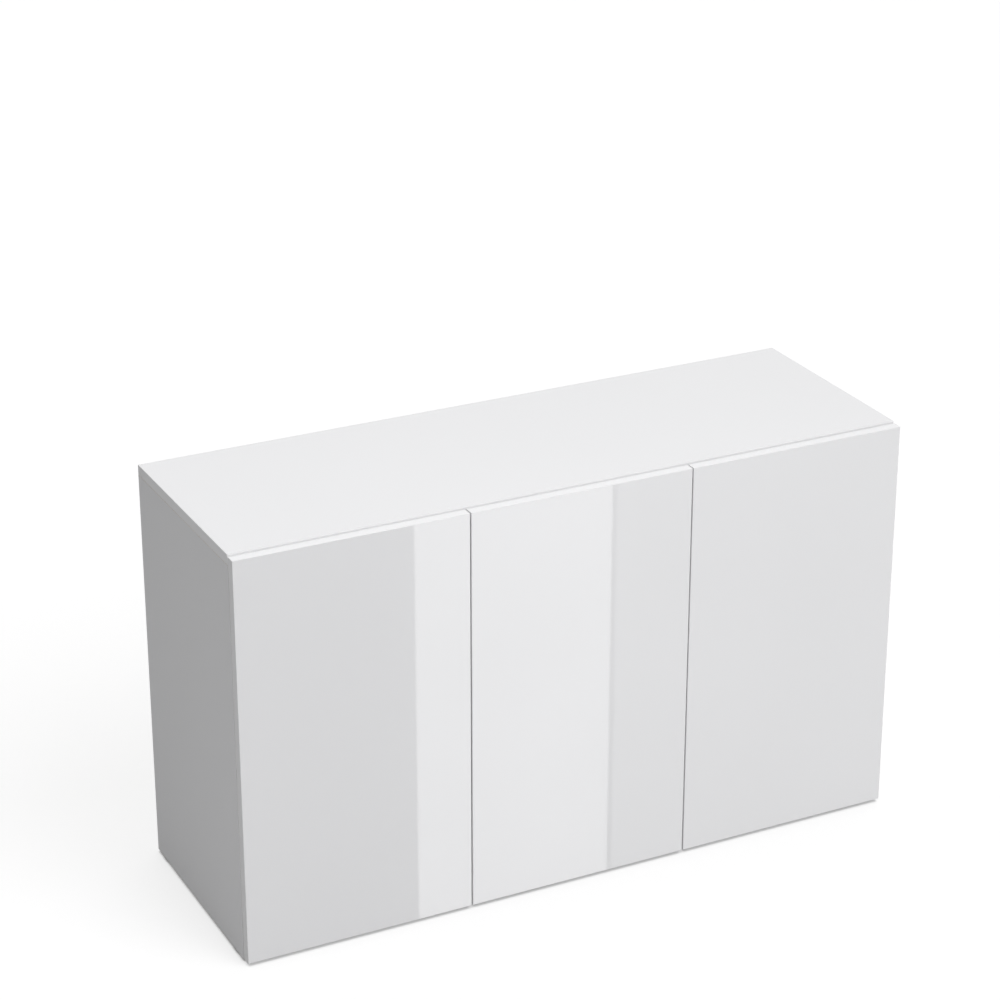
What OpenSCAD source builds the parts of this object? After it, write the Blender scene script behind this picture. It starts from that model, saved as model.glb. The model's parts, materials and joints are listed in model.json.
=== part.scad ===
// Aquarium stand cabinet: a flat-pack cabinet of laminated board with three handleless doors.
// Millimetres. X runs along the front, Y from the doors to the back and Z up.
// The origin is at floor level, under the middle of the whole cabinet.

/* [Cabinet] */
// Width over the side panels
cabinet_w = 1200; // [1000:10:1500]
// Depth from the door faces to the back edge
cabinet_d = 410; // [380:5:600]
// Height from the floor to the top face
cabinet_h = 720; // [650:10:900]
// Thickness of the carcass boards and of the doors
board = 18; // [18:1:22]
// Height of the plinth boards under the bottom panel
plinth_h = 50; // [45:5:100]
// Thickness of the glides under the cabinet
glide_h = 4; // [3:1:8]
// Thickness of the back panels
back_t = 3; // [3:1:5]
// Height of the shelf pins above the floor
shelf_z = 370; // [306:32:434]

/* [Doors] */
// Gap between two doors
door_gap = 2; // [2:0.5:5]
// Gap between the closed doors and the carcass
door_back_gap = 2; // [2:0.5:3]
// Distance from the top face down to the doors
door_top_gap = 3; // [2:1:6]
// Distance from the floor up to the doors
door_floor_gap = 6; // [5:1:20]
// Radius of the eased edges round a door's face
door_edge_r = 1; // [1:0.5:3]

/* [Hinges and latches] */
// Distance from a door's end to its nearer hinge
hinge_inset = 100; // [90:5:140]
// Distance from a door's hinge edge to the middle of its cups
cup_u = 22.5; // [22:0.5:24]
// Distance from a door's free edge to its latch
latch_inset = 40; // [35:5:80]

/* [Cables and hoses] */
// Diameter of the hose holes in the two partitions
hose_d = 60; // [50:5:70]
// Width of the cable notch in each back panel
notch_w = 130; // [80:10:180]
// Height of the cable notch in each back panel
notch_h = 70; // [50:5:90]

/* [Hidden] */
$fn = 48;
// Faces and levels of the carcass
half_w = cabinet_w / 2;
inner_x = half_w - board;
front_y = -cabinet_d / 2;
back_y = cabinet_d / 2;
carcass_y = front_y + board + door_back_gap;
back_recess = 2;
back_face_y = back_y - back_recess;
inner_back_y = back_face_y - back_t;
under_top = cabinet_h - board;
floor_z = glide_h + plinth_h;
deck_z = floor_z + board;
rail_h = 80;
rail_y = inner_back_y - board / 2;
plinth_setback = 30;
plinth_ys = [carcass_y + plinth_setback, inner_back_y - plinth_setback];
rebate_w = 8;
// Doors and the partitions behind their seams
door_w = (cabinet_w - 2 * door_gap) / 3;
door_h = cabinet_h - door_top_gap - door_floor_gap;
seam_x = (door_w + door_gap) / 2;
hinge_zs = [door_floor_gap + hinge_inset, cabinet_h - door_top_gap - hinge_inset];
// Inner face of the board that carries each door's hinges, measured from the door's hinge edge
wall_us = [board, (board - door_gap) / 2, board];
// Concealed hinge: u runs from the hinge edge across the door, v from its face to the back
cup_r = 17.5;
cup_wall = 1;
cup_depth = 12;
flange_t = 1.2;
link_pivot = [21.5, board - 7];
link_len = 14;
pin_r = 1.5;
running_gap = 0.05;
arm_half = 6.5;
slot_half = 5.2;
link_half = 4.9;
plate_v = board + door_back_gap + 37;
plate_screw_z = 16;
cup_screw_z = 22.5;
cup_screw_u = cup_u + 6;
link_eye_r = 2.6;
arm_top = 11;
plate_wing_t = 1.5;
arm_screw_vs = [plate_v - 15, plate_v + 11];
// Screws: [shank radius, length, head radius, head height]
cup_screw = [1.75, 13, 3.6, 1.6];
plate_screw = [3, 12, 4.6, 2.2];
arm_screw = [1.75, 9, 3.4, 1.4];
latch_screw = [1.5, 14, 3.2, 1.6];
back_screw = [1.5, 15, 3.5, 1.6];
plinth_screw = [2.5, 41, 4.8, 2.8];
// Bumpers on the doors' backs: they meet the front edges of the bottom and the top panel
bumper_r = 4;
bumper_t = 1.6;
bumper_u = door_w - 30;
bumper_zs = [floor_z + board / 2, under_top + 7];
// Push latch
latch_u = door_w - latch_inset;
latch_z = under_top - 11;
latch_r = 6;
plunger_r = 4;
plunger_len = 46;
plunger_bore_r = 2.8;
cartridge_len = 66;
strike_t = 0.8;
tip_t = 2.6;
part_gap = 0.3;
cartridge_y = part_gap - door_back_gap + strike_t + tip_t + part_gap;
holder_y = 6;
holder_len = 52;
foot_t = 3;
foot_screw_x = 12;
foot_screw_ys = [14, 50];
spring_turns = 8;
spring_wire_r = 0.35;
spring_r = 2.2;
// Knock-down fittings
cam_r = 7.5;
cam_depth = 13.5;
cam_reach = 34;
cam_bolt_in = 11;
dowel_r = 4;
dowel_half = [18, 12];
fit_ys = [carcass_y + 60, back_y - 60];
dowel_ys = [carcass_y + 28, back_y - 95];
// Shelf pins
pin_hole_r = 2.5;
pin_ys = [carcass_y + 65, back_y - 55];
pin_pitch = 32;
pin_rows = [-2 : 2];
pin_head_r = 3.5;
pin_flat = 2;
shelf_d = cabinet_d - 55;
shelf_side_gap = 1;
// Cable ways
hose_y = back_y - 75;
hose_z = under_top - 112;
hose_lining = 3;
notch_x = -(inner_x + seam_x) / 2;
notch_r = 15;
// Screws of the back and of the plinth, and the nails of the glides
back_screw_rows = [0.16, 0.39, 0.62, 0.85];
back_screw_steps = [0.33, 0.67];
plinth_screw_steps = [0.4, 0.75];
plinth_screw_sink = 3;
nail_r = 1;
nail_head_r = 2.5;
nail_head_t = 0.8;
nail_seat = 0.9;
nail_len = glide_h + 12;

// ---- Places where fittings go: [x, y, z, tilt about Y, spin about the fitting's own axis] ----

// Upright boards: middle plane, and the spin that turns a cam to the side where it is reached
uprights = [[-half_w + board / 2, 0], [-seam_x, 180], [seam_x, 0], [half_w - board / 2, 180]];
top_cams = [for (p = uprights, y = fit_ys) [p[0], y, under_top, 0, p[1]]];
foot_cams = [for (p = [uprights[1], uprights[2]], y = fit_ys) [p[0], y, deck_z, 180, 180 - p[1]]];
deck_cams = [for (s = [-1, 1], y = fit_ys) [s * inner_x, y, floor_z + board / 2, s * 90, 90 - s * 90]];
plinth_cams = [for (s = [-1, 1], i = [0, 1])
    [s * inner_x, plinth_ys[i], glide_h + plinth_h / 2, s * 90, 90 - 180 * i]];
rail_zs = [under_top - rail_h / 2, deck_z + rail_h / 2];
rail_cams = [for (s = [-1, 1], z = rail_zs) [s * (seam_x - board / 2), rail_y, z, s * 90, -90]];
all_cams = concat(top_cams, foot_cams, deck_cams, plinth_cams, rail_cams);
// Cams in plain sight inside the cabinet have caps
capped_cams = concat(top_cams, foot_cams, rail_cams);

top_dowels = [for (p = uprights, y = dowel_ys) [p[0], y, under_top, 0, 0]];
foot_dowels = [for (s = [-1, 1], y = dowel_ys) [s * seam_x, y, deck_z, 180, 0]];
deck_dowels = [for (s = [-1, 1], y = dowel_ys) [s * inner_x, y, floor_z + board / 2, s * 90, 0]];
rail_dowels = [for (s = [-1, 1], z = rail_zs, d = [-25, 25])
    [s * (seam_x - board / 2), rail_y, z + d, s * 90, 0]];
all_dowels = concat(top_dowels, foot_dowels, deck_dowels, rail_dowels);

module at(places) {
    for (p = places)
        translate([p[0], p[1], p[2]]) rotate([0, p[3], 0]) rotate([0, 0, p[4]]) children();
}

module both_sides() {
    children();
    mirror([1, 0, 0]) children();
}

// The frame of one door, 0 left, 1 middle, 2 right: x runs from its hinge edge, y from its face
module door_frame(i) {
    if (i == 2) translate([half_w, front_y, 0]) mirror([1, 0, 0]) children();
    else translate([i == 0 ? -half_w : -door_w / 2, front_y, 0]) children();
}

// Turns a shape that stands on Z so that it lies along +Y, or along +X
module along_y() rotate([-90, 0, 0]) children();
module along_x() rotate([0, 90, 0]) children();

// ---- Fittings ----

// Cuts for a cam fitting: the joint face is z = 0 and the cam's board is below it
module cam_cut() {
    translate([board / 2 - cam_depth, 0, -cam_reach]) along_x()
        cylinder(r = cam_r + 0.1, h = cam_depth + 1);
    translate([0, 0, -cam_reach]) cylinder(r = 4, h = cam_reach + 1);
}

module cam_bolt_cut() translate([0, 0, -1]) cylinder(r = 3.1, h = cam_bolt_in + 1.5);

module cam_lock() {
    body_h = cam_depth - 1;
    translate([board / 2 - cam_depth + 0.3, 0, -cam_reach]) difference() {
        along_x() cylinder(r = cam_r, h = body_h);
        translate([cam_depth - board / 2 - 0.3, 0, -2.2]) cylinder(r = 3.7, h = cam_r + 3);
        translate([body_h - 2, 0, 0]) for (a = [0, 90])
            rotate([a, 0, 0]) translate([0, -0.9, -4.5]) cube([3, 1.8, 9]);
    }
}

module cam_bolt() {
    pitch = 2;
    translate([0, 0, -cam_reach - 1.5]) cylinder(r = 3.3, h = 3);
    translate([0, 0, -cam_reach]) cylinder(r = 1.9, h = 10);
    translate([0, 0, -cam_reach + 9]) cylinder(r = 3.6, h = cam_reach - 9);
    rotate_extrude() polygon(concat(
        [[0, 0]],
        [for (i = [0 : 2 * cam_bolt_in / pitch - 1]) [i % 2 == 0 ? 2.3 : 3, i * pitch / 2]],
        [[0, cam_bolt_in - pitch / 2]]
    ));
}

module cam_cap() translate([board / 2, 0, -cam_reach]) along_x() rotate_extrude()
    polygon([[0, 0], [8.8, 0], [8.8, 0.6], [8.2, 1.1], [0, 1.3]]);

module dowel_cut() translate([0, 0, -dowel_half[0] - 0.5])
    cylinder(r = dowel_r + 0.05, h = dowel_half[0] + dowel_half[1] + 1);

module dowel() {
    chamfer = 1;
    rotate_extrude() polygon([
        [0, -dowel_half[0]], [dowel_r - chamfer, -dowel_half[0]], [dowel_r, chamfer - dowel_half[0]],
        [dowel_r, dowel_half[1] - chamfer], [dowel_r - chamfer, dowel_half[1]], [0, dowel_half[1]]
    ]);
}

// A screw that points down, with its head standing on z = 0 and a cross recess
module screw(size) {
    r = size[0];
    length = size[1];
    head_r = size[2];
    head_h = size[3];
    recess_w = head_r * 0.3;
    difference() {
        union() {
            translate([0, 0, -length + r]) cylinder(r = r, h = length - r + 0.2);
            translate([0, 0, -length]) cylinder(r1 = 0.3, r2 = r, h = r);
            rotate_extrude() polygon([
                [0, 0], [head_r, 0], [head_r, head_h * 0.35], [head_r * 0.8, head_h * 0.85],
                [head_r * 0.45, head_h], [0, head_h]
            ]);
        }
        for (a = [0, 90]) rotate(a) translate([-recess_w / 2, -head_r * 0.6, head_h * 0.35])
            cube([recess_w, head_r * 1.2, head_h]);
    }
}

// Pilot hole of a screw, a little wider and deeper than its shank
module pilot(size) translate([0, 0, -size[1] - 0.5])
    cylinder(r = size[0] + running_gap, h = size[1] + 1);

// ---- Boards ----

// A rectangle whose two corners on the y = 0 side are rounded
module eased_profile(w, t, r) {
    translate([r, 0]) square([w - 2 * r, t]);
    translate([0, r]) square([w, t - r]);
    for (x = [r, w - r]) translate([x, r]) circle(r);
}

// The holes for shelf pins in an upright's face at x, drilled towards dir
module shelf_holes(x, dir) {
    for (y = pin_ys, k = pin_rows)
        translate([x, y, shelf_z + k * pin_pitch]) rotate([0, dir * 90, 0])
            translate([0, 0, -1]) cylinder(r = pin_hole_r + running_gap, h = 12);
}

// Places one child at each mounting plate screw of a door, pointing out of its board
module at_plate_screws(i) {
    door_frame(i) for (z = hinge_zs, d = [-plate_screw_z, plate_screw_z])
        translate([wall_us[i], plate_v, z + d]) along_x() children();
}

module plate_pilots(i) at_plate_screws(i) pilot(plate_screw);

// Screws through the left back panel: into the side, the partition and the bottom panel
module at_back_screws() {
    edge_x = rebate_w / 2;
    for (x = [-inner_x - edge_x, -seam_x - edge_x], f = back_screw_rows)
        translate([x, back_face_y, deck_z + f * (under_top - deck_z)]) along_y() children();
    for (f = back_screw_steps)
        translate([-inner_x + f * (inner_x - seam_x), back_face_y, floor_z + board / 2])
            along_y() children();
}

module back_pilots() at_back_screws() pilot(back_screw);

module latch_frame(i) door_frame(i) translate([latch_u, carcass_y - front_y, latch_z]) children();

module at_latch_screws(i) latch_frame(i) for (s = [-1, 1], y = foot_screw_ys)
    translate([s * foot_screw_x, y, under_top - latch_z - foot_t]) mirror([0, 0, 1]) children();

// Glide places under the sides and the plinth boards
glide_places = concat(
    [for (s = [-1, 1], y = [carcass_y + 35, back_y - 35]) [s * (half_w - board / 2), y]],
    [for (x = [-seam_x, seam_x], y = plinth_ys) [x, y]]
);

module glide_nail_cuts() for (p = glide_places)
    translate([p[0], p[1], glide_h - 1]) cylinder(r = nail_r + running_gap, h = nail_len - 0.5);

module top_panel() color("whitesmoke") difference() {
    translate([-half_w, carcass_y, under_top]) cube([cabinet_w, back_y - carcass_y, board]);
    at(top_cams) cam_bolt_cut();
    at(top_dowels) dowel_cut();
    for (i = [0 : 2]) at_latch_screws(i) pilot(latch_screw);
}

// The left side panel: the right one is its mirror image
module side_panel() difference() {
    translate([-half_w, carcass_y, glide_h]) cube([board, back_y - carcass_y, under_top - glide_h]);
    translate([-inner_x - rebate_w, inner_back_y, floor_z]) cube([board, board, cabinet_h]);
    at([top_cams[0], top_cams[1]]) cam_cut();
    at([top_dowels[0], top_dowels[1], deck_dowels[0], deck_dowels[1]]) dowel_cut();
    at([deck_cams[0], deck_cams[1], plinth_cams[0], plinth_cams[1]]) cam_bolt_cut();
    shelf_holes(-inner_x, -1);
    plate_pilots(0);
    back_pilots();
    glide_nail_cuts();
}

module side_left() color("gainsboro") side_panel();
module side_right() color("gainsboro") mirror([1, 0, 0]) side_panel();

// The left partition. Only it carries the hinges of the middle door
module partition_board(hinged) difference() {
    translate([-seam_x - board / 2, carcass_y, deck_z])
        cube([board, inner_back_y - carcass_y, under_top - deck_z]);
    at([top_cams[2], top_cams[3], foot_cams[0], foot_cams[1]]) cam_cut();
    at([top_dowels[2], top_dowels[3], foot_dowels[0], foot_dowels[1]]) dowel_cut();
    at([for (k = [0 : 3]) rail_dowels[k]]) dowel_cut();
    at([rail_cams[0], rail_cams[1]]) cam_bolt_cut();
    shelf_holes(-seam_x - board / 2, 1);
    translate([-seam_x - board, hose_y, hose_z]) along_x() cylinder(d = hose_d, h = 2 * board, $fn = 96);
    if (hinged) plate_pilots(1);
    back_pilots();
}

module partition_left() color("whitesmoke") partition_board(true);
module partition_right() color("whitesmoke") mirror([1, 0, 0]) partition_board(false);

module bottom_panel() color("whitesmoke") difference() {
    translate([-inner_x, carcass_y, floor_z]) cube([2 * inner_x, inner_back_y - carcass_y, board]);
    at(deck_cams) cam_cut();
    at(foot_cams) cam_bolt_cut();
    at(concat(foot_dowels, deck_dowels)) dowel_cut();
    both_sides() back_pilots();
}

// A plinth board: 0 at the front, 1 at the rear
module plinth_board(i) difference() {
    translate([-inner_x, plinth_ys[i] - board / 2, glide_h]) cube([2 * inner_x, board, plinth_h]);
    at([plinth_cams[i], plinth_cams[i + 2]]) cam_cut();
    at_plinth_screws() pilot(plinth_screw);
    at_plinth_screws() cylinder(r = plinth_screw[2] + 0.2, h = plinth_screw_sink + 1);
    glide_nail_cuts();
}

module plinth_front() color("whitesmoke") plinth_board(0);
module plinth_rear() color("whitesmoke") plinth_board(1);

// Screws through the plinth boards into the ends of the cross boards, heads sunk from outside
module at_plinth_screws() {
    reach = board / 2 - plinth_screw_sink;
    for (s = [-1, 1], f = plinth_screw_steps) translate([s * seam_x, 0, glide_h + f * plinth_h]) {
        translate([0, plinth_ys[0] - reach, 0]) rotate([90, 0, 0]) children();
        translate([0, plinth_ys[1] + reach, 0]) along_y() children();
    }
}

module plinth_cross() difference() {
    translate([-seam_x - board / 2, plinth_ys[0] + board / 2, glide_h])
        cube([board, plinth_ys[1] - plinth_ys[0] - board, plinth_h]);
    at_plinth_screws() pilot(plinth_screw);
}

module plinth_cross_left() color("whitesmoke") plinth_cross();
module plinth_cross_right() color("whitesmoke") mirror([1, 0, 0]) plinth_cross();

// The left back panel, with a cable notch in its top edge
module back_panel() {
    left = -inner_x - rebate_w;
    right = -seam_x - 0.5;
    difference() {
        translate([left, inner_back_y, floor_z]) cube([right - left, back_t, under_top - floor_z]);
        translate([notch_x, inner_back_y - 1, under_top]) along_y() linear_extrude(back_t + 2) {
            translate([-notch_w / 2, -1]) square([notch_w, notch_h + 1 - notch_r]);
            translate([notch_r - notch_w / 2, 0]) square([notch_w - 2 * notch_r, notch_h]);
            for (s = [-1, 1]) translate([s * (notch_w / 2 - notch_r), notch_h - notch_r]) circle(notch_r);
        }
        back_pilots();
    }
}

module back_left() color("linen") back_panel();
module back_right() color("linen") mirror([1, 0, 0]) back_panel();

// A rail between the partitions: 0 at the top, 1 on the bottom panel
module rear_rail(i) difference() {
    translate([-seam_x + board / 2, rail_y - board / 2, rail_zs[i] - rail_h / 2])
        cube([2 * seam_x - board, board, rail_h]);
    at([rail_cams[i], rail_cams[i + 2]]) cam_cut();
    at(rail_dowels) dowel_cut();
}

module rear_rail_top() color("whitesmoke") rear_rail(0);
module rear_rail_bottom() color("whitesmoke") rear_rail(1);

// ---- Shelves ----

module shelf_board() {
    left = -inner_x + shelf_side_gap;
    right = -seam_x - board / 2 - shelf_side_gap;
    translate([left, inner_back_y - 5 - shelf_d, shelf_z + pin_flat])
        cube([right - left, shelf_d, board]);
}

module shelf_left() color("whitesmoke") shelf_board();
module shelf_right() color("whitesmoke") mirror([1, 0, 0]) shelf_board();

// A shelf pin in an upright's face, with a collar and a head that is flat on top
module shelf_pin() {
    head_l = 9;
    translate([0, 0, -10]) cylinder(r = pin_hole_r, h = 10.5);
    intersection() {
        union() {
            cylinder(r = 4.4, h = 0.9);
            cylinder(r = pin_head_r, h = head_l);
        }
        translate([-pin_flat, -5, 0]) cube([pin_flat + 5, 10, head_l]);
    }
}

module shelf_pins() color("silver") both_sides() for (y = pin_ys) {
    translate([-inner_x, y, shelf_z]) along_x() shelf_pin();
    translate([-seam_x - board / 2, y, shelf_z]) rotate([0, -90, 0]) mirror([1, 0, 0]) shelf_pin();
}

// ---- Doors ----

module door_panel(i) door_frame(i) difference() {
    translate([0, 0, door_floor_gap]) intersection() {
        linear_extrude(door_h) eased_profile(door_w, board, door_edge_r);
        translate([0, 0, door_h]) along_x() linear_extrude(door_w)
            eased_profile(door_h, board, door_edge_r);
    }
    for (z = hinge_zs) {
        translate([cup_u, board - cup_depth - part_gap, z]) along_y()
            cylinder(r = cup_r + running_gap, h = cup_depth + 1, $fn = 96);
        for (d = [-1, 1]) translate([cup_screw_u, board, z + d * cup_screw_z]) along_y() pilot(cup_screw);
    }
}

module door_left() color("white") door_panel(0);
module door_middle() color("white") door_panel(1);
module door_right() color("white") door_panel(2);

// Soft bumpers with a domed front
module bumpers(i) color("white") door_frame(i) for (z = bumper_zs)
    translate([bumper_u, board, z]) along_y() rotate_extrude() polygon([
        [0, 0], [bumper_r, 0], [bumper_r, 0.5], [bumper_r * 0.8, bumper_t * 0.85],
        [bumper_r * 0.4, bumper_t], [0, bumper_t]
    ]);
module bumpers_left() bumpers(0);
module bumpers_middle() bumpers(1);
module bumpers_right() bumpers(2);

// A hinge cup: a round bowl let into the door and a flange on the door's back
module hinge_cup() difference() {
    union() {
        translate([cup_u, board - cup_depth, 0]) along_y() cylinder(r = cup_r, h = cup_depth, $fn = 96);
        translate([0, board, 0]) along_y() linear_extrude(flange_t) {
            translate([cup_u, 0]) circle(cup_r + 1.5, $fn = 96);
            translate([cup_screw_u - 7, -cup_screw_z]) square([12, 2 * cup_screw_z]);
            for (d = [-1, 1]) translate([cup_screw_u - 1, d * cup_screw_z]) circle(6);
        }
    }
    translate([cup_u, board - cup_depth + cup_wall, 0]) along_y()
        cylinder(r = cup_r - cup_wall, h = cup_depth + 1, $fn = 96);
    for (d = [-1, 1]) translate([cup_screw_u, board, d * cup_screw_z]) along_y()
        translate([0, 0, -1]) cylinder(r = 1.85, h = 4);
}

module hinge_cups(i) color("silver") door_frame(i) for (z = hinge_zs) translate([0, 0, z]) hinge_cup();
module hinge_cups_left() hinge_cups(0);
module hinge_cups_middle() hinge_cups(1);
module hinge_cups_right() hinge_cups(2);

module cup_screws(i) color("silver") door_frame(i) for (z = hinge_zs, d = [-1, 1])
    translate([cup_screw_u, board + flange_t, z + d * cup_screw_z]) along_y() screw(cup_screw);
module cup_screws_left() cup_screws(0);
module cup_screws_middle() cup_screws(1);
module cup_screws_right() cup_screws(2);

// A hinge link: an eye on the pin, an arched bar that passes over the cup's rim, and a nose in the cup
module hinge_link() {
    rise = 4.5;
    bar = 1.5;
    arc_r = (pow(link_len / 2, 2) + pow(rise, 2)) / (2 * rise);
    translate([link_pivot[0], link_pivot[1], -link_half]) difference() {
        linear_extrude(2 * link_half) {
            circle(link_eye_r);
            translate([link_len, 0]) circle(2.3);
            intersection() {
                translate([link_len / 2, rise - arc_r]) difference() {
                    circle(arc_r + bar);
                    circle(arc_r - bar);
                }
                square([link_len, rise + 2 * bar]);
            }
        }
        translate([0, 0, -1]) cylinder(r = pin_r + running_gap, h = 2 * link_half + 2);
    }
}

module hinge_links(i) color("silver") door_frame(i) for (z = hinge_zs) translate([0, 0, z]) hinge_link();
module hinge_links_left() hinge_links(0);
module hinge_links_middle() hinge_links(1);
module hinge_links_right() hinge_links(2);

// A hinge arm: a channel over the mounting plate whose two cheeks reach into the cup
module hinge_arm(wall) {
    low = wall + 1.8;
    high = wall + arm_top;
    body_v = 30;
    end_v = 76;
    web = 1.5;
    difference() {
        translate([0, 0, -arm_half]) linear_extrude(2 * arm_half) {
            translate(link_pivot) circle(link_eye_r);
            polygon([
                [link_pivot[0] - link_eye_r, link_pivot[1]], [low, body_v], [low, end_v],
                [high, end_v], [high, body_v - 3], [link_pivot[0] + 5, body_v - 10],
                [link_pivot[0] + link_eye_r, link_pivot[1]]
            ]);
        }
        translate([wall, 0, -slot_half]) cube([high - web - wall, end_v + 1, 2 * slot_half]);
        translate([high - web - 1, 0, -slot_half]) cube([20, body_v - 4, 2 * slot_half]);
        translate([link_pivot[0], link_pivot[1], -arm_half - 1])
            cylinder(r = pin_r, h = 2 * arm_half + 2);
        for (v = arm_screw_vs) translate([wall, v, 0]) along_x()
            cylinder(r = arm_screw[0] + 0.35, h = 20);
    }
}

module hinge_arms() color("silver") for (i = [0 : 2], z = hinge_zs)
    door_frame(i) translate([0, 0, z]) hinge_arm(wall_us[i]);

// A cross mounting plate, screwed to the upright behind the door
module hinge_plate(wall) {
    block_h = 7;
    block_w = 9.8;
    wing_r = 7;
    difference() {
        union() {
            translate([wall, plate_v, 0]) along_x() linear_extrude(plate_wing_t) {
                translate([-plate_screw_z, -wing_r]) square([2 * plate_screw_z, 2 * wing_r]);
                for (d = [-1, 1]) translate([d * plate_screw_z, 0]) circle(wing_r);
            }
            translate([wall, plate_v - 25, -block_w / 2]) cube([block_h, 42, block_w]);
        }
        for (d = [-1, 1]) translate([wall - 1, plate_v, d * plate_screw_z]) along_x()
            cylinder(r = plate_screw[0] + 0.1, h = block_h + 2);
        for (v = arm_screw_vs) translate([wall - 1, v, 0]) along_x()
            cylinder(r = arm_screw[0] + running_gap, h = 20);
    }
}

module hinge_plates() color("silver") for (i = [0 : 2], z = hinge_zs)
    door_frame(i) translate([0, 0, z]) hinge_plate(wall_us[i]);

module plate_screws() color("silver") for (i = [0 : 2]) at_plate_screws(i)
    translate([0, 0, plate_wing_t]) screw(plate_screw);

module arm_screws() color("silver") for (i = [0 : 2], z = hinge_zs, v = arm_screw_vs)
    door_frame(i) translate([wall_us[i] + arm_top, v, z]) along_x() screw(arm_screw);

module link_pins() color("dimgray") for (i = [0 : 2], z = hinge_zs)
    door_frame(i) translate([link_pivot[0], link_pivot[1], z - arm_half])
        cylinder(r = pin_r, h = 2 * arm_half);

// ---- Push latches: y = 0 is the carcass's front edge ----

module latch_cartridge() translate([0, cartridge_y, 0]) along_y() difference() {
    union() {
        cylinder(r = latch_r, h = cartridge_len);
        cylinder(r = latch_r + 1.2, h = 2);
    }
    translate([0, 0, -1]) cylinder(r = plunger_r + 0.08, h = cartridge_len - 1);
}

module latch_cartridges() color("lightgray") for (i = [0 : 2]) latch_frame(i) latch_cartridge();

// A holder: a screwed foot under the top panel and a block that the cartridge is pushed into
module latch_holder() {
    foot_w = 36;
    block_w = 2 * latch_r + 4;
    top = under_top - latch_z;
    difference() {
        union() {
            translate([-foot_w / 2, holder_y, top - foot_t]) cube([foot_w, holder_len, foot_t]);
            translate([-block_w / 2, holder_y, -3]) cube([block_w, holder_len, top + 3]);
            translate([0, holder_y, 0]) along_y() cylinder(r = block_w / 2, h = holder_len);
        }
        along_y() cylinder(r = latch_r + running_gap, h = holder_y + holder_len + 1);
        for (s = [-1, 1], y = foot_screw_ys) translate([s * foot_screw_x, y, top - foot_t - 1])
            cylinder(r = latch_screw[0] + 0.3, h = foot_t + 2);
    }
}

module latch_holders() color("gainsboro") for (i = [0 : 2]) latch_frame(i) latch_holder();

module latch_screws() color("silver") for (i = [0 : 2]) at_latch_screws(i) screw(latch_screw);

// A plunger with its magnet tip, hollow for the spring
module plunger(i) latch_frame(i) translate([0, cartridge_y - part_gap, 0]) along_y() difference() {
    union() {
        cylinder(r = plunger_r, h = plunger_len);
        translate([0, 0, -tip_t]) cylinder(r = plunger_r + 0.6, h = tip_t);
    }
    translate([0, 0, 12]) cylinder(r = plunger_bore_r, h = plunger_len);
}

module plunger_left() color("dimgray") plunger(0);
module plunger_middle() color("dimgray") plunger(1);
module plunger_right() color("dimgray") plunger(2);

// A compression spring as a swept tube along a helix
module coil(r, wire_r, length, turns) {
    steps = 9;
    sides = 5;
    rings = turns * steps;
    points = [for (k = [0 : rings], j = [0 : sides - 1])
        let (a = 360 * k / steps, b = 360 * j / sides, q = r + wire_r * cos(b))
        [q * cos(a), q * sin(a), length * k / rings + wire_r * sin(b)]];
    walls = [for (k = [0 : rings - 1], j = [0 : sides - 1], t = [0, 1])
        let (n = (j + 1) % sides, a = k * sides, b = a + sides)
        t == 0 ? [a + j, a + n, b + n] : [a + j, b + n, b + j]];
    ends = [[for (j = [sides - 1 : -1 : 0]) j], [for (j = [0 : sides - 1]) rings * sides + j]];
    polyhedron(points, concat(walls, ends));
}

module latch_springs() color("silver") for (i = [0 : 2])
    latch_frame(i) translate([0, cartridge_y + 13, 0]) along_y()
        coil(spring_r, spring_wire_r, cartridge_len - 16, spring_turns);

module strike(i) door_frame(i) translate([latch_u, board, latch_z]) along_y() difference() {
    cylinder(r = 8, h = strike_t);
    translate([0, 0, strike_t - 0.3]) difference() {
        cylinder(r = 7, h = 1);
        translate([0, 0, -1]) cylinder(r = 6.4, h = 3);
    }
}

module strike_left() color("silver") strike(0);
module strike_middle() color("silver") strike(1);
module strike_right() color("silver") strike(2);

// ---- Small parts of the carcass ----

// A lining ring with a flange, pushed into a hose hole from the outer compartment
module hose_ring() {
    bore_r = hose_d / 2 - hose_lining;
    translate([-seam_x - board / 2 - 2, hose_y, hose_z]) along_x() difference() {
        union() {
            cylinder(r = hose_d / 2 + 4, h = 2, $fn = 96);
            cylinder(r = hose_d / 2 - 0.05, h = board + 2, $fn = 96);
        }
        translate([0, 0, -1]) cylinder(r = bore_r, h = board + 4, $fn = 96);
    }
}

module hose_rings() color("gainsboro") both_sides() hose_ring();

module cam_locks() color("silver") at(all_cams) cam_lock();
module cam_bolts() color("dimgray") at(all_cams) cam_bolt();
module cam_caps() color("white") at(capped_cams) cam_cap();
module dowels() color("burlywood") at(all_dowels) dowel();

module back_screws() color("silver") both_sides() at_back_screws() screw(back_screw);

module plinth_screws() color("dimgray") at_plinth_screws() screw(plinth_screw);

module glides() color("gray") for (p = glide_places) translate([p[0], p[1], 0]) difference() {
    rotate_extrude() polygon([
        [0, 0], [6.5, 0], [7.6, 0.5], [8, 1.4], [8, glide_h], [0, glide_h]
    ]);
    translate([0, 0, nail_seat]) cylinder(r = nail_r + running_gap, h = glide_h);
    translate([0, 0, nail_seat - 0.1]) cylinder(r = nail_head_r + running_gap, h = nail_head_t + 0.2);
}

module glide_nails() color("silver") for (p = glide_places) translate([p[0], p[1], nail_seat]) {
    point = 2;
    cylinder(r = nail_head_r, h = nail_head_t);
    cylinder(r = nail_r, h = nail_len - point);
    translate([0, 0, nail_len - point]) cylinder(r1 = nail_r, r2 = 0.2, h = point);
}

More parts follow.
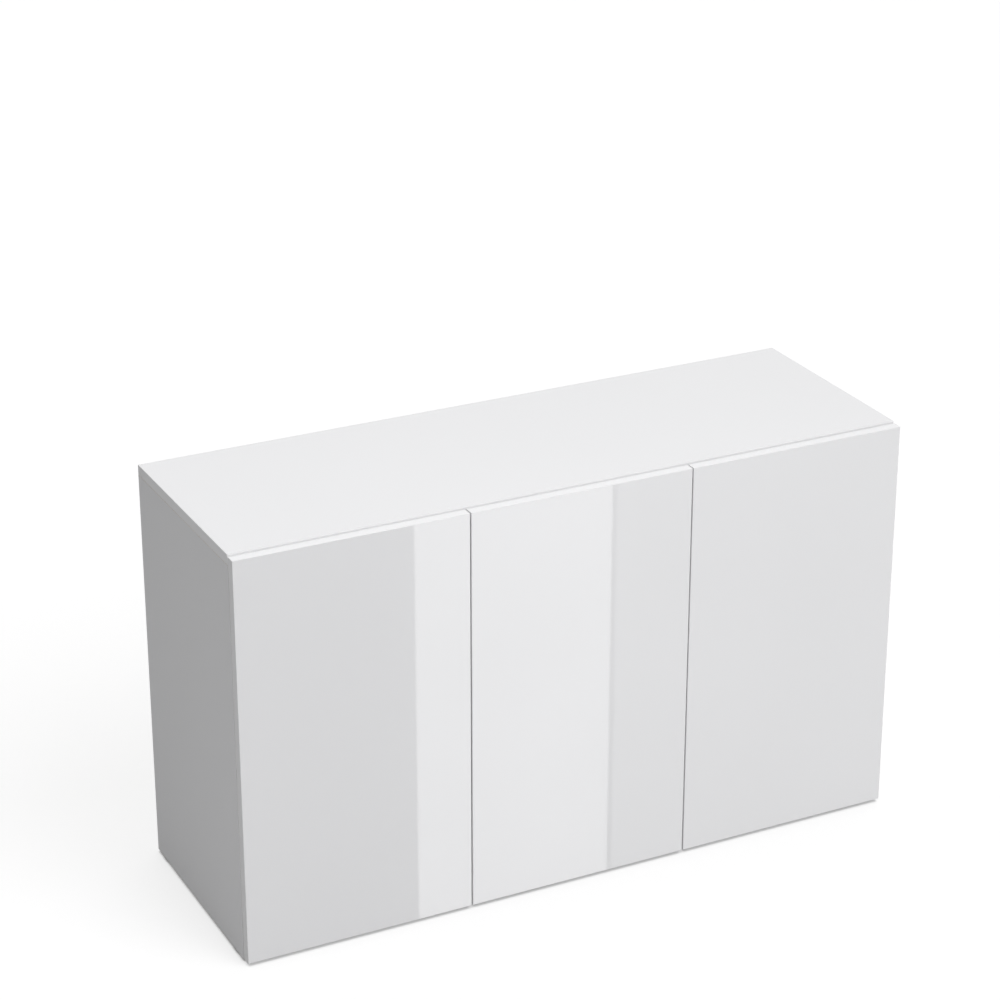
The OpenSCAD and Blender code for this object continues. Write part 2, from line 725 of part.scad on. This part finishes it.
top_panel();
side_left();
side_right();
partition_left();
partition_right();
bottom_panel();
plinth_front();
plinth_rear();
plinth_cross_left();
plinth_cross_right();
back_left();
back_right();
rear_rail_top();
rear_rail_bottom();
shelf_left();
shelf_right();
shelf_pins();
door_left();
door_middle();
door_right();
bumpers_left();
bumpers_middle();
bumpers_right();
hinge_cups_left();
hinge_cups_middle();
hinge_cups_right();
hinge_links_left();
hinge_links_middle();
hinge_links_right();
hinge_arms();
hinge_plates();
link_pins();
cup_screws_left();
cup_screws_middle();
cup_screws_right();
plate_screws();
arm_screws();
strike_left();
strike_middle();
strike_right();
plunger_left();
plunger_middle();
plunger_right();
latch_cartridges();
latch_holders();
latch_springs();
latch_screws();
hose_rings();
cam_locks();
cam_bolts();
cam_caps();
dowels();
back_screws();
plinth_screws();
glides();
glide_nails();
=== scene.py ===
"""Looks of the aquarium stand cabinet: its boards, finishes, studio and camera."""

import json
import math

import bmesh
import bpy
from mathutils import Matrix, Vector

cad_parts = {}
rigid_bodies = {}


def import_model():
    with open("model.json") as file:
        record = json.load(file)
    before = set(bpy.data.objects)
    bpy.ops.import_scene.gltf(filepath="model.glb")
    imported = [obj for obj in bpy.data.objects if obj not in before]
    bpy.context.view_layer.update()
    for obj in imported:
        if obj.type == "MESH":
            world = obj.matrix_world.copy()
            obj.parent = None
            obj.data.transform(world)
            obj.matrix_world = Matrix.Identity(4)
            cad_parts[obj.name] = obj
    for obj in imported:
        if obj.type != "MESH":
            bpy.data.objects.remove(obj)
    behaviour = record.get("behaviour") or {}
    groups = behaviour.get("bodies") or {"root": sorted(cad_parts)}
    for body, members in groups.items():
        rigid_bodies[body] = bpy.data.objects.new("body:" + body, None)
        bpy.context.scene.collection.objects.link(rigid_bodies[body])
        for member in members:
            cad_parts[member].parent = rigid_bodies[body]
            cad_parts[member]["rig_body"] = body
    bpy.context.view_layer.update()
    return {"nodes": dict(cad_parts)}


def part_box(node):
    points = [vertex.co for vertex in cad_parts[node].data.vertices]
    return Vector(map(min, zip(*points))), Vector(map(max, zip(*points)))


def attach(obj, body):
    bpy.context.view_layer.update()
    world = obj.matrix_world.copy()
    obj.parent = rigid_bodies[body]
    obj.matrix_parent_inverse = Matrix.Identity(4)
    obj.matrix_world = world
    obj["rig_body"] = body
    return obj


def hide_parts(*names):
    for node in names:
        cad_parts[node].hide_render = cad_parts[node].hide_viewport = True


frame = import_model()

MM = 0.001
WELD = 0.002 * MM

# Radius of the rounded edges, and the flats that make up each one
DOOR_EDGE = 0.5 * MM
BOARD_EDGE = 0.7 * MM
SIDE_EDGE = 0.25 * MM
BACK_EDGE = 0.25 * MM
EDGE_STEPS = 3
FITTING_STEPS = 2

# Boards: outer edges this long and this sharp are rounded, faces this near the outside have a
# finish, faces this square to an axis count as flat, and faces below the last angle shade smoothly
LONG_EDGE = 6 * MM
CORNER_ANGLE = math.radians(60)
SKIN = 0.8 * MM
FLAT = 0.99999
SMOOTH_ANGLE = math.radians(38)

# Fittings: faces within the first angle become one, and edges past the second are rounded
SAME_PLANE = math.radians(0.3)
FITTING_CORNER = math.radians(50)

# Material slots of a board
FACE, BAND, CORE, PLAIN = range(4)

# Camera
CAMERA_PLACE = Vector((-2.018, -3.940, 2.556))
CAMERA_AZIMUTH = math.radians(26.58)
CAMERA_ELEVATION = math.radians(23.62)
CAMERA_LENS = 104.8
CAMERA_SENSOR = 36.0
CAMERA_REACH = 100.0

# Floor: size, grey as the camera sees it and as it lights the cabinet, glow in the open, then glow
# and reach of the painted contact shadow, and how open the sky is where that painted shadow is
# darkest and where it ends
FLOOR_SIZE = 60
FLOOR_SHOWN = 0.35
FLOOR_THROWN = 0.45
FLOOR_GLOW = 0.68
PAINTED_SHADOW_GLOW = 0.1
PAINTED_SHADOW_REACH = 8 * MM
PAINTED_SHADOW_CLOSED = 0.45
PAINTED_SHADOW_OPEN = 0.75

# World: how bright it lights the object, and how bright it looks
ROOM_LIGHT = 0.25
BACKDROP = 1.0

# Cards in front of the doors
CARD_Y = -5.0
CARD_Z = -1.65
CARD_HEIGHT = 4.8

# Name, width, height, centre, facing, strength
CARDS = (
    ("card_bright", 0.80, CARD_HEIGHT, (2.31, CARD_Y, CARD_Z), (0, 1, 0), 3.1),
    ("card_right", 4.0, CARD_HEIGHT, (4.73, CARD_Y, CARD_Z), (0, 1, 0), 1.4),
    ("card_rear", 7.0, 4.0, (3.0, 6.0, 3.6), (0, -1, -0.2), 0.9),
    ("card_side", 8.0, 6.8, (8.0, -3.0, -2.9), (-1, 0, 0), 4.0),
)

# Name, strength, spread in degrees, direction it comes from
SUNS = (
    ("key", 1.5, 50, (0.42, -0.66, 0.62)),
    ("left_fill", 0.41, 60, (-0.5, -0.8, 0.35)),
    ("overhead", 0.6, 90, (0, 0, 1)),
    ("rear_fill", 1.1, 90, (0.25, 0.85, 0.45)),
)

# Name, size, watts, centre, target
SOFT_LIGHTS = (
    ("left_low", 0.8, 0.9, (-1.5, -0.3, 0.2), (-0.6, 0, 0.1)),
    ("front_top", 1.0, 7.5, (-0.2, -1.6, 2.2), (0, -0.2, 0.6)),
)


# ---- Material building ----


def new_material(name, **values):
    """A node material with a Principled shader whose constant sockets are set from values."""
    made = bpy.data.materials.new(name)
    made.use_nodes = True
    shader = made.node_tree.nodes["Principled BSDF"]
    for socket, value in values.items():
        shader.inputs[socket.replace("_", " ")].default_value = value
    return made


def add(material, kind, inputs=None, **settings):
    """Adds a shader node. Each input is a value, or another node's output socket to link from."""
    made = material.node_tree.nodes.new("ShaderNode" + kind)
    for name, value in settings.items():
        setattr(made, name, value)
    for name, value in (inputs or {}).items():
        if isinstance(value, bpy.types.NodeSocket):
            material.node_tree.links.new(value, made.inputs[name])
        else:
            made.inputs[name].default_value = value
    return made


def drive(material, socket, output):
    """Links an output to a socket of the material's Principled shader."""
    shader = material.node_tree.nodes["Principled BSDF"]
    material.node_tree.links.new(output, shader.inputs[socket])


def place(material, stretch=(1, 1, 1)):
    """The piece's own coordinates in metres, stretched along each axis."""
    coordinates = add(material, "TexCoord").outputs["Object"]
    if stretch == (1, 1, 1):
        return coordinates
    return add(material, "Mapping", {"Vector": coordinates, "Scale": stretch}).outputs["Vector"]


def noise(material, at, size, detail=2.0, roughness=0.5):
    """Noise from 0 to 1 whose features are about size metres across."""
    inputs = {"Vector": at, "Scale": 1 / size, "Detail": detail, "Roughness": roughness}
    return add(material, "TexNoise", inputs).outputs["Fac"]


def between(material, factor, low, high, start=0.0, end=1.0):
    """Maps factor from start..end to low..high."""
    inputs = {"Value": factor, "From Min": start, "From Max": end, "To Min": low, "To Max": high}
    return add(material, "MapRange", inputs).outputs["Result"]


def tint(material, factor, first, second):
    """A colour between first and second; each is a colour or a colour output."""
    first, second = [(*c, 1) if isinstance(c, tuple) else c for c in (first, second)]
    inputs = {"Fac": factor, "Color1": first, "Color2": second}
    return add(material, "MixRGB", inputs).outputs["Color"]


def relief(material, height, depth, under=None):
    """A bump of depth metres, on top of another bump if one is given."""
    inputs = {"Height": height, "Distance": depth, "Strength": 1.0}
    if under is not None:
        inputs["Normal"] = under
    return add(material, "Bump", inputs).outputs["Normal"]


def edges(material, radius):
    """About 1 along convex and concave edges and 0 elsewhere."""
    rounded = add(material, "Bevel", {"Radius": radius}, samples=4).outputs["Normal"]
    flat = add(material, "NewGeometry").outputs["Normal"]
    same = add(material, "VectorMath", {0: rounded, 1: flat}, operation="DOT_PRODUCT")
    return between(material, same.outputs["Value"], 1.0, 0.0, 0.93, 1.0)


# ---- Finishes ----


def gloss_lacquer(name, white, peel):
    """High-gloss lacquer: a clear coat with a faint orange peel over a slightly cloudy base."""
    made = new_material(name, Roughness=0.3, Coat_Weight=1.0, Coat_Roughness=0.018, Coat_IOR=1.5)
    at = place(made)
    cloud = noise(made, at, 0.35, 3.0)
    drive(made, "Base Color", tint(made, cloud, tuple(c * 0.985 for c in white), white))
    drive(made, "Roughness", between(made, noise(made, at, 0.25, 1.0), 0.28, 0.33, 0.3, 0.7))
    wave = relief(made, noise(made, at, 0.045, 1.0), peel * 2.5)
    normal = relief(made, noise(made, at, 0.006, 1.0), peel, wave)
    drive(made, "Normal", normal)
    drive(made, "Coat Normal", normal)
    return made


def edge_band(name, colour, roughness):
    """Plastic edge strip: satin, with fine lengthwise scraper marks and a little handling wear."""
    made = new_material(name, Coat_Weight=0.15, Coat_Roughness=0.12)
    marks = noise(made, place(made, (1, 1, 0.04)), 0.0012, 3.0)
    worn = noise(made, place(made), 0.03, 4.0, 0.65)
    drive(made, "Base Color", tint(made, worn, tuple(c * 0.96 for c in colour), colour))
    drive(made, "Roughness", between(made, worn, roughness - 0.06, roughness + 0.08, 0.3, 0.7))
    drive(made, "Normal", relief(made, marks, 0.02 * MM))
    return made


def melamine(name, colour):
    """Melamine facing with its fine pearl texture and slight shade differences."""
    made = new_material(name, Roughness=0.4, Specular_IOR_Level=0.45)
    at = place(made)
    cloud = noise(made, at, 0.2, 4.0, 0.6)
    drive(made, "Base Color", tint(made, cloud, tuple(c * 0.965 for c in colour), colour))
    pearl = noise(made, at, 0.0016, 3.0, 0.7)
    drive(made, "Roughness", between(made, pearl, 0.34, 0.5, 0.3, 0.7))
    wave = relief(made, noise(made, at, 0.012), 0.02 * MM)
    drive(made, "Normal", relief(made, pearl, 0.07 * MM, wave))
    return made


def chipboard(name):
    """Raw chipboard: pressed flakes of mixed wood colours, open pores between them."""
    made = new_material(name, Roughness=0.85, Specular_IOR_Level=0.2)
    at = place(made)
    flake = add(made, "TexVoronoi", {"Vector": at, "Scale": 420.0, "Randomness": 1.0})
    shade = add(made, "SeparateColor", {"Color": flake.outputs["Color"]}).outputs["Red"]
    colour = tint(made, shade, (0.46, 0.34, 0.21), (0.74, 0.61, 0.44))
    pore = noise(made, at, 0.0011, 3.0, 0.7)
    dark = between(made, pore, 1.0, 0.0, 0.34, 0.46)
    drive(made, "Base Color", tint(made, dark, colour, (0.2, 0.12, 0.06)))
    drive(made, "Roughness", between(made, shade, 0.75, 0.95))
    drive(made, "Normal", relief(made, pore, 0.3 * MM))
    return made


def hardboard(name, colour):
    """Lacquered hardboard: fine fibres under the paint and the faint mesh of the press screen."""
    made = new_material(name, Roughness=0.5, Specular_IOR_Level=0.35)
    at = place(made)
    fibre = noise(made, place(made, (1, 1, 2.5)), 0.004, 5.0, 0.7)
    drive(made, "Base Color", tint(made, fibre, tuple(c * 0.94 for c in colour), colour))
    drive(made, "Roughness", between(made, fibre, 0.42, 0.62, 0.3, 0.7))
    wires = {"Vector": at, "Scale": 120.0, "Distortion": 0.6}
    across = add(made, "TexWave", wires, bands_direction="X").outputs["Fac"]
    along = add(made, "TexWave", wires, bands_direction="Z").outputs["Fac"]
    screen = add(made, "Math", {0: across, 1: along}, operation="MULTIPLY").outputs["Value"]
    drive(made, "Normal", relief(made, fibre, 0.08 * MM, relief(made, screen, 0.05 * MM)))
    return made


def metal(name, colour, smooth, rough, grain, stretch=(1, 1, 1)):
    """Plated or cast metal with a fine surface grain, cloudy patches and brighter rubbed edges."""
    made = new_material(name, Metallic=1.0, Roughness=rough)
    cloud = noise(made, place(made), 0.006, 4.0, 0.6)
    dull = tint(made, cloud, tuple(c * 0.82 for c in colour), colour)
    bright = tuple(min(1.0, c * 1.22) for c in colour)
    drive(made, "Base Color", tint(made, edges(made, 0.25 * MM), dull, bright))
    lines = noise(made, place(made, stretch), 0.0006, 3.0, 0.6)
    drive(made, "Roughness", between(made, lines, smooth, rough, 0.25, 0.75))
    drive(made, "Normal", relief(made, lines, grain))
    return made


def moulded(name, colour, roughness):
    """Moulded plastic with a spark-eroded grain and slightly polished edges."""
    made = new_material(name, Specular_IOR_Level=0.45)
    at = place(made)
    grain = noise(made, at, 0.0007, 2.0, 0.6)
    cloud = noise(made, at, 0.02, 3.0)
    worn = tuple(min(1.0, c * 1.06 + 0.012) for c in colour)
    shade = tint(made, cloud, tuple(c * 0.93 for c in colour), colour)
    edge = edges(made, 0.3 * MM)
    drive(made, "Base Color", tint(made, edge, shade, worn))
    drive(made, "Roughness", between(made, edge, roughness, roughness - 0.12))
    drive(made, "Normal", relief(made, grain, 0.04 * MM))
    return made


def beech(name):
    """Raw beech: long grain with short dark rays."""
    made = new_material(name, Roughness=0.7, Specular_IOR_Level=0.25)
    grain = noise(made, place(made, (1, 1, 0.08)), 0.0011, 4.0, 0.65)
    ray = noise(made, place(made, (1, 1, 0.2)), 0.0006, 2.0)
    colour = tint(made, grain, (0.52, 0.36, 0.21), (0.74, 0.57, 0.38))
    dark = between(made, ray, 0.5, 0.0, 0.3, 0.42)
    drive(made, "Base Color", tint(made, dark, colour, (0.33, 0.2, 0.11)))
    drive(made, "Roughness", between(made, grain, 0.6, 0.8))
    drive(made, "Normal", relief(made, grain, 0.12 * MM))
    return made


WHITE = (0.80, 0.80, 0.812)
# The edges' white is lighter than the faces' white: a painted highlight where the rounded edges
# catch the light.
PAINTED_HIGHLIGHT_WHITE = (0.86, 0.86, 0.87)
finishes = {
    "gloss_face": gloss_lacquer("gloss_face", WHITE, 0.0007 * MM),
    "gloss_edge_painted_highlight": gloss_lacquer("gloss_edge_painted_highlight", PAINTED_HIGHLIGHT_WHITE, 0.002 * MM),
    "melamine": melamine("melamine_white", (0.80, 0.80, 0.79)),
    "band": edge_band("edge_band_white", (0.80, 0.80, 0.795), 0.32),
    "chipboard": chipboard("raw_chipboard"),
    "hardboard": hardboard("lacquered_hardboard", (0.78, 0.775, 0.75)),
    "nickel": metal("nickel_plate", (0.70, 0.69, 0.66), 0.16, 0.3, 0.012 * MM, (1, 1, 0.12)),
    "smooth_nickel": metal("smooth_nickel", (0.66, 0.65, 0.63), 0.2, 0.34, 0.012 * MM),
    "steel": metal("spring_steel", (0.52, 0.52, 0.53), 0.22, 0.36, 0.01 * MM),
    "zinc": metal("zinc_casting", (0.50, 0.50, 0.52), 0.38, 0.58, 0.05 * MM),
    "screw": metal("screw_steel", (0.62, 0.62, 0.61), 0.24, 0.4, 0.015 * MM),
    "white_plastic": moulded("white_plastic", (0.79, 0.79, 0.78), 0.42),
    "cap_white": moulded("cap_white", (0.80, 0.80, 0.79), 0.36),
    "soft_white": moulded("soft_white", (0.72, 0.72, 0.71), 0.6),
    "grey_plastic": moulded("grey_plastic", (0.42, 0.43, 0.44), 0.45),
    "dark_plastic": moulded("dark_plastic", (0.05, 0.05, 0.055), 0.48),
    "beech": beech("beech_dowel"),
}


# ---- Boards ----


def rounded_copy(node, radius):
    """A mesh of a CAD board whose long outer edges are rounded over."""
    work = bmesh.new()
    work.from_mesh(frame["nodes"][node].data)
    bmesh.ops.remove_doubles(work, verts=work.verts, dist=WELD)
    outer = [
        e for e in work.edges
        if e.is_manifold and e.is_convex
        and e.calc_length() > LONG_EDGE and e.calc_face_angle() > CORNER_ANGLE
    ]
    bmesh.ops.bevel(
        work, geom=outer, offset=radius, offset_type="OFFSET", segments=EDGE_STEPS,
        profile=0.5, affect="EDGES", clamp_overlap=False, miter_outer="SHARP",
    )
    bmesh.ops.dissolve_degenerate(work, dist=WELD, edges=work.edges)
    return work


def board(node, face, band, radius, raw_sides=(), plain_side=None):
    """Replaces a CAD board: faced broad sides, strips on its edges, raw core in its holes.

    raw_sides names edges without a strip, such as "+y" for the rear edge. plain_side names the
    broad side that has melamine in place of gloss.
    """
    low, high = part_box(node)
    thin = min(range(3), key=lambda k: high[k] - low[k])
    work = rounded_copy(node, radius)
    flat = set()
    for f in work.faces:
        middle = f.calc_center_median()
        side = max(range(3), key=lambda k: abs(f.normal[k]))
        level = high[side] if f.normal[side] > 0 else low[side]
        flush = abs(middle[side] - level) < SKIN
        if abs(f.normal[side]) > FLAT:
            flat.add(f)
        name = ("+" if f.normal[side] > 0 else "-") + "xyz"[side]
        if not flush or name in raw_sides:
            f.material_index = CORE
        elif name == plain_side:
            f.material_index = PLAIN
        elif side == thin:
            f.material_index = FACE
        else:
            f.material_index = BAND
        f.smooth = True
    for e in work.edges:
        first, second = e.link_faces
        gentle = first.normal.angle(second.normal) < SMOOTH_ANGLE
        e.smooth = gentle and (first in flat) == (second in flat)
    mesh = bpy.data.meshes.new(node + "_board")
    work.to_mesh(mesh)
    work.free()
    for finish in (face, band, "chipboard", "melamine"):
        mesh.materials.append(finishes[finish])
    piece = bpy.data.objects.new(node + "_board", mesh)
    bpy.context.scene.collection.objects.link(piece)
    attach(piece, frame["nodes"][node]["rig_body"])
    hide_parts(node)


for name in ("door_left", "door_middle", "door_right"):
    board(name, "gloss_face", "gloss_edge_painted_highlight", DOOR_EDGE, plain_side="+y")
board("top_panel", "gloss_face", "gloss_edge_painted_highlight", BOARD_EDGE, plain_side="-z")
for name, inner in (("side_left", "+x"), ("side_right", "-x")):
    board(name, "gloss_face", "gloss_edge_painted_highlight", SIDE_EDGE, ("-z", "+z"), inner)
for name in ("partition_left", "partition_right"):
    board(name, "melamine", "band", BOARD_EDGE, ("+y", "-z", "+z"))
for name in ("shelf_left", "shelf_right"):
    board(name, "melamine", "band", BOARD_EDGE)
board("bottom_panel", "melamine", "band", BOARD_EDGE, ("+y", "-x", "+x"))
for name in ("plinth_front", "plinth_rear", "rear_rail_top", "rear_rail_bottom"):
    board(name, "melamine", "band", BOARD_EDGE, ("-x", "+x"))
for name in ("plinth_cross_left", "plinth_cross_right"):
    board(name, "melamine", "band", BOARD_EDGE, ("-y", "+y"))
for name in ("back_left", "back_right"):
    board(name, "hardboard", "hardboard", BACK_EDGE)


# ---- Fittings ----


def smooth_group():
    """A node group that shades a mesh smooth, so that rounded edges catch the light."""
    group = bpy.data.node_groups.new("shade_smooth", "GeometryNodeTree")
    group.interface.new_socket("Geometry", in_out="INPUT", socket_type="NodeSocketGeometry")
    group.interface.new_socket("Geometry", in_out="OUTPUT", socket_type="NodeSocketGeometry")
    start = group.nodes.new("NodeGroupInput")
    shade = group.nodes.new("GeometryNodeSetShadeSmooth")
    end = group.nodes.new("NodeGroupOutput")
    group.links.new(start.outputs[0], shade.inputs["Geometry"])
    group.links.new(shade.outputs[0], end.inputs[0])
    return group


shade_smooth = smooth_group()


def fitting(node, finish, radius):
    """Gives a CAD fitting its finish, and rounds its edges with modifiers."""
    piece = frame["nodes"][node]
    for slot in piece.material_slots:
        slot.link = "OBJECT"
        slot.material = finishes[finish]
    if radius:
        weld = piece.modifiers.new("weld", "WELD")
        weld.merge_threshold = WELD
        merge = piece.modifiers.new("merge_flat_faces", "DECIMATE")
        merge.decimate_type = "DISSOLVE"
        merge.angle_limit = SAME_PLANE
        bevel = piece.modifiers.new("round", "BEVEL")
        bevel.width = radius
        bevel.segments = FITTING_STEPS
        bevel.limit_method = "ANGLE"
        bevel.angle_limit = FITTING_CORNER
        bevel.use_clamp_overlap = True
        bevel.face_strength_mode = "FSTR_AFFECTED"
        smooth = piece.modifiers.new("smooth", "NODES")
        smooth.node_group = shade_smooth
        normals = piece.modifiers.new("normals", "WEIGHTED_NORMAL")
        normals.use_face_influence = True


# Finish: the fittings that have it, and the radius of their edges
FITTINGS = {
    "nickel": (
        ("hinge_cups_left", "hinge_cups_middle", "hinge_cups_right", "hinge_links_left",
         "hinge_links_middle", "hinge_links_right", "hinge_arms", "hinge_plates"),
        0.15 * MM,
    ),
    "smooth_nickel": (("strike_left", "strike_middle", "strike_right", "shelf_pins"), 0.0),
    "screw": (
        ("cup_screws_left", "cup_screws_middle", "cup_screws_right", "plate_screws",
         "arm_screws", "latch_screws", "back_screws", "plinth_screws", "glide_nails"),
        0.0,
    ),
    "zinc": (("cam_locks", "cam_bolts"), 0.0),
    "steel": (("latch_springs", "link_pins"), 0.0),
    "white_plastic": (("hose_rings", "latch_holders"), 0.3 * MM),
    "cap_white": (("cam_caps",), 0.0),
    "grey_plastic": (("latch_cartridges", "glides"), 0.3 * MM),
    "soft_white": (("bumpers_left", "bumpers_middle", "bumpers_right"), 0.0),
    "dark_plastic": (("plunger_left", "plunger_middle", "plunger_right"), 0.2 * MM),
    "beech": (("dowels",), 0.0),
}
for finish, (names, radius) in FITTINGS.items():
    for name in names:
        fitting(name, finish, radius)


# ---- Studio ----


def stage_plane(name, width, height, centre, facing, material):
    """A flat stage panel whose front looks along facing."""
    mesh = bpy.data.meshes.new(name)
    w, h = width / 2, height / 2
    mesh.from_pydata([(-w, -h, 0), (w, -h, 0), (w, h, 0), (-w, h, 0)], [], [(0, 1, 2, 3)])
    mesh.materials.append(material)
    piece = bpy.data.objects.new(name, mesh)
    piece.location = centre
    piece.rotation_mode = "QUATERNION"
    piece.rotation_quaternion = Vector(facing).to_track_quat("Z", "Y")
    bpy.context.scene.collection.objects.link(piece)
    return piece


def grey(level):
    """An opaque grey of a level from 0 to 1."""
    return (level, level, level, 1)


def floor_material():
    """Pale floor, near white but for a painted contact shadow under the cabinet.

    It throws less light back at the cabinet than it shows.
    """
    made = bpy.data.materials.new("studio_floor")
    made.use_nodes = True
    made.node_tree.nodes.clear()
    seen = add(made, "LightPath").outputs["Is Camera Ray"]
    lit = add(made, "BsdfDiffuse", {"Color": grey(FLOOR_SHOWN)})
    # Painted contact shadow: the glow the camera sees dims where the cabinet stands close to the
    # floor.
    open_sky = add(made, "AmbientOcclusion", {"Distance": PAINTED_SHADOW_REACH}, samples=8).outputs["AO"]
    strength = between(made, open_sky, PAINTED_SHADOW_GLOW, FLOOR_GLOW, PAINTED_SHADOW_CLOSED, PAINTED_SHADOW_OPEN)
    glow = add(made, "Emission", {"Color": grey(1), "Strength": strength})
    shown = add(made, "AddShader", {0: lit.outputs[0], 1: glow.outputs[0]})
    thrown = add(made, "BsdfDiffuse", {"Color": grey(FLOOR_THROWN)})
    both = add(made, "MixShader", {0: seen, 1: thrown.outputs[0], 2: shown.outputs[0]})
    add(made, "OutputMaterial", {"Surface": both.outputs[0]})
    return made


def card_material(name, strength):
    """A lit card that the gloss reflects."""
    made = bpy.data.materials.new(name)
    made.use_nodes = True
    made.node_tree.nodes.clear()
    glow = add(made, "Emission", {"Color": grey(1), "Strength": strength})
    add(made, "OutputMaterial", {"Surface": glow.outputs[0]})
    return made


def reflection_card(name, width, height, centre, facing, strength):
    """A card that shows only as a reflection, and neither lights nor shades anything else."""
    card = stage_plane(name, width, height, centre, facing, card_material(name, strength))
    card.visible_camera = False
    card.visible_diffuse = False
    card.visible_shadow = False
    card.visible_transmission = False


def hidden_light(name, data, centre, rotation):
    """Adds a light that shows neither to the camera nor in the gloss."""
    light = bpy.data.objects.new(name, data)
    light.location = centre
    light.rotation_mode = "QUATERNION"
    light.rotation_quaternion = rotation
    light.visible_camera = False
    light.visible_glossy = False
    bpy.context.scene.collection.objects.link(light)


def soft_sun(name, strength, spread, towards):
    """Even soft light that comes from the direction towards, spread over an angle in degrees."""
    data = bpy.data.lights.new(name, "SUN")
    data.energy = strength
    data.angle = math.radians(spread)
    hidden_light(name, data, (0, 0, 0), Vector(towards).to_track_quat("Z", "Y"))


def soft_light(name, size, power, centre, target):
    """A square soft light aimed at target."""
    data = bpy.data.lights.new(name, "AREA")
    data.shape = "SQUARE"
    data.size = size
    data.energy = power
    aim = Vector(target) - Vector(centre)
    hidden_light(name, data, centre, aim.to_track_quat("-Z", "Y"))


def world():
    """White where the camera looks past the floor, and dim grey as the room's light."""
    made = bpy.data.worlds.new("studio")
    made.use_nodes = True
    made.node_tree.nodes.clear()
    seen = add(made, "LightPath").outputs["Is Camera Ray"]
    room = add(made, "Background", {"Color": grey(1), "Strength": ROOM_LIGHT})
    backdrop = add(made, "Background", {"Color": grey(1), "Strength": BACKDROP})
    both = add(made, "MixShader", {0: seen, 1: room.outputs[0], 2: backdrop.outputs[0]})
    add(made, "OutputWorld", {"Surface": both.outputs[0]})
    bpy.context.scene.world = made


def camera():
    """The photograph's viewpoint."""
    data = bpy.data.cameras.new("camera")
    data.lens = CAMERA_LENS
    data.sensor_width = CAMERA_SENSOR
    data.clip_end = CAMERA_REACH
    made = bpy.data.objects.new("camera", data)
    a, e = CAMERA_AZIMUTH, CAMERA_ELEVATION
    ahead = Vector((math.sin(a) * math.cos(e), math.cos(a) * math.cos(e), -math.sin(e)))
    made.location = CAMERA_PLACE
    made.rotation_mode = "QUATERNION"
    made.rotation_quaternion = ahead.to_track_quat("-Z", "Y")
    bpy.context.scene.collection.objects.link(made)
    bpy.context.scene.camera = made


floor = stage_plane("floor", FLOOR_SIZE, FLOOR_SIZE, (0, 0, 0), (0, 0, 1), floor_material())
floor.visible_glossy = False
for card in CARDS:
    reflection_card(*card)
for sun in SUNS:
    soft_sun(*sun)
for light in SOFT_LIGHTS:
    soft_light(*light)
world()
camera()
bpy.context.scene.view_settings.view_transform = "Standard"
